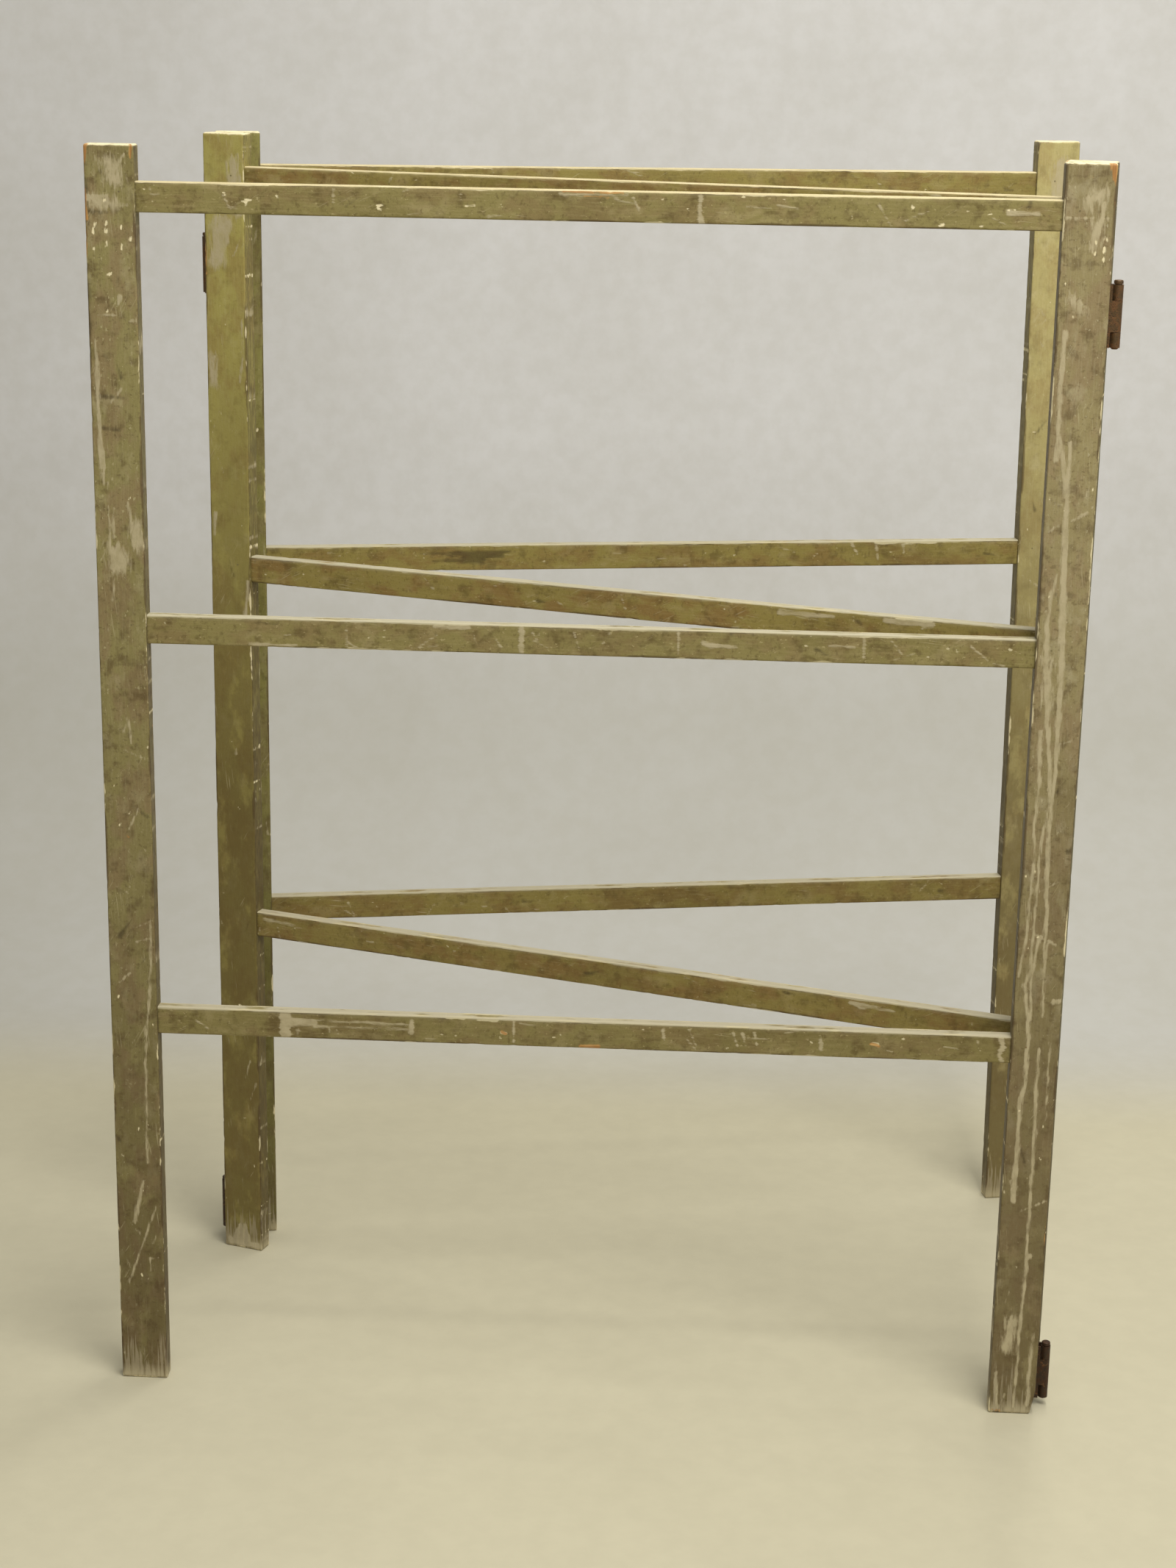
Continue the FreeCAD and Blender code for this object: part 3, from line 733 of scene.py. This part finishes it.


# The upper hinges are a dry mid brown. The lower ones, by the floor, are nearly
# black, from grime and painted shade. The screws are duller still, and the brads
# lie under filler and paint.
iron = rusted_iron("rusted_iron", "#5f4a2f", "#74502f", "#2e2215")
grimy_shaded_iron = rusted_iron("grimy_shaded_iron", "#3a2a1a", "#4c321c", "#1f160e")
screw_steel = rusted_iron("rusted_screws", "#4a3a2c", "#5f4129", "#2a1e16")
painted_over = rusted_iron("brad_steel_painted_over", "#857b56", "#7c6c4c", "#5d5136")
for name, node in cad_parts.items():
    if name.endswith(("_leaf", "_pin", "_screws", "_brads")):
        node.data.materials.clear()
        finish = painted_over if name.endswith("_brads") else screw_steel
        if name.endswith(("_leaf", "_pin")):
            # the lower hinges take the darker iron: grime and painted shade
            finish = grimy_shaded_iron if "lower" in name else iron
        node.data.materials.append(finish)

# ======================================================================
# The room: a pale floor that sweeps up into a pale grey backdrop, soft lamps
# over the rack and in front of it to the right, and the camera at eye height.
# ======================================================================


def paper_sheet(name, half_width, y, z):
    """A sheet of paper: the line through the points y and z, drawn out to both sides."""
    x = np.linspace(-half_width, half_width, 21)
    grid = np.stack([np.tile(x, len(y)), np.repeat(y, len(x)), np.repeat(z, len(x))], axis=-1)
    row, column = np.arange(len(y) - 1)[:, None], np.arange(len(x) - 1)[None, :]
    first = row * len(x) + column
    quads = np.stack([first, first + 1, first + 1 + len(x), first + len(x)], axis=-1).reshape(-1, 4)
    mesh = bpy.data.meshes.new(name)
    mesh.from_pydata(grid.tolist(), [], quads.tolist())
    mesh.shade_smooth()
    sheet = bpy.data.objects.new(name, mesh)
    bpy.context.scene.collection.objects.link(sheet)
    return sheet


LEFT_SHADE = "#8f8c80"          # painted shade to the left, away from the lamps
MOTTLE = "#9d977f"         # faint clouds, a hand across and a thumb across


def matt_paper(name, floor_colour, wall_colour, lit_top_colour):
    """Matt seamless paper, warm where it lies on the floor and grey where it turns up,
    with painted light making it paler up the wall and painted shade darkening it a
    little to the left, and faint mottling. Its back is clear, so the rack can be seen
    from behind it."""
    material = bpy.data.materials.new(name)
    material.use_nodes = True
    tree = material.node_tree
    tree.nodes.clear()
    place = add(tree, "TexCoord", out="Object")
    colour = linear(floor_colour)
    # the paler top of the wall is painted light; the darker left is painted shade
    for axis, start, stop, tint, amount in (("Y", 0.5, 0.9, wall_colour, 1.0),
                                            ("Z", 0.32, 0.85, lit_top_colour, 1.0),
                                            ("X", -0.1, -1.4, LEFT_SHADE, 0.2)):
        along = add(tree, "SeparateXYZ", {0: place}, out=axis)
        reach = add(tree, "MapRange", {"Value": along, "From Min": start, "From Max": stop,
                                       "To Max": amount}, interpolation_type="SMOOTHSTEP")
        colour = add(tree, "Mix", {MIX: reach, UNDER: colour, OVER: linear(tint)}, data_type="RGBA")
    for size in (0.25, 0.03):
        cloud = patches(tree, place, size, 1.0, 0.3, 0.7, 0.1)
        colour = add(tree, "Mix", {MIX: cloud, UNDER: colour, OVER: linear(MOTTLE)}, data_type="RGBA")
    paper = add(tree, "BsdfPrincipled", {"Base Color": colour, "Roughness": 0.9})
    back = add(tree, "NewGeometry", out="Backfacing")
    clear = add(tree, "BsdfTransparent")
    shown = add(tree, "MixShader", {0: back, 1: paper, 2: clear})
    add(tree, "OutputMaterial", {"Surface": shown})
    return material


FLOOR_REACH = 20.0         # of the floor from the rack, m
WALL_AT, WALL_TOP = 1.5, 5.0   # the wall's distance behind the rack, and its height, m
BEND = 0.75                # radius of the turn-up, m
WALL_HALF_WIDTH = 5.0      # m
LIFT = 0.3 * MM            # of the backdrop off the floor, so that the two don't coincide
turn = np.linspace(0, np.pi / 2, 24)
reach = np.linspace(-FLOOR_REACH, FLOOR_REACH, 41)
upright = np.linspace(BEND, WALL_TOP, 13)[1:]
floor = paper_sheet("floor", FLOOR_REACH, reach, np.zeros(len(reach)))
backdrop = paper_sheet("backdrop", WALL_HALF_WIDTH,
                       np.concatenate([WALL_AT - BEND + BEND * np.sin(turn), np.full(len(upright), WALL_AT)]),
                       np.concatenate([BEND * (1 - np.cos(turn)), upright]) + LIFT)
# its last colour is painted light, paler towards the top of the wall
paper = matt_paper("matt_paper", "#c0baa0", "#bbbab3", "#dcdcdd")
for sheet in (floor, backdrop):
    sheet.data.materials.append(paper)


def soft_lamp(name, place, aim, size, power, colour):
    """A rectangular lamp at a place, facing its aim."""
    lamp = bpy.data.lights.new(name, "AREA")
    lamp.shape = "RECTANGLE"
    lamp.size, lamp.size_y = size
    lamp.energy = power
    lamp.color = linear(colour)[:3]
    holder = bpy.data.objects.new(name, lamp)
    holder.location = place
    way = np.array(aim, float) - np.array(place, float)
    holder.rotation_euler = (math.atan2(math.hypot(way[0], way[1]), -way[2]), 0,
                             math.atan2(-way[0], way[1]))
    bpy.context.scene.collection.objects.link(holder)


LAMP_COLOUR = "#fdfaf4"
TUBE = (5.0, 0.4)          # length and width of a ceiling tube's diffuser, m
soft_lamp("rear_tube", (0.7, 0.3, 6.5), (0.5, 0.3, 0.0), TUBE, 205, LAMP_COLOUR)
soft_lamp("front_tube", (0.7, -2.7, 6.5), (0.5, -0.3, 0.5), TUBE, 60, LAMP_COLOUR)
soft_lamp("front_lamp", (1.2, -2.0, 3.3), (0.1, -0.1, 1.2), (2.2, 1.4), 72, LAMP_COLOUR)
world = bpy.data.worlds.new("room")
world.use_nodes = True
room_light = world.node_tree.nodes["Background"].inputs
room_light["Color"].default_value = linear("#dddcda")
room_light["Strength"].default_value = 0.52
bpy.context.scene.world = world
bpy.context.scene.view_settings.view_transform = "Standard"

EYE = (0.1200, -3.0673, 1.4909)          # m
PITCH, YAW, ROLL = math.radians(-15.57), math.radians(2.843), math.radians(0.999)
FOCAL_LENGTH, SENSOR_WIDTH = 61.9, 36    # mm
lens = bpy.data.cameras.new("camera")
lens.lens = FOCAL_LENGTH
lens.sensor_width = SENSOR_WIDTH
camera = bpy.data.objects.new("camera", lens)
camera.location = EYE
turned = (Matrix.Rotation(YAW, 3, "Z") @ Matrix.Rotation(math.pi / 2 + PITCH, 3, "X")
          @ Matrix.Rotation(ROLL, 3, "Z"))
camera.rotation_euler = turned.to_euler()
bpy.context.scene.collection.objects.link(camera)
bpy.context.scene.camera = camera
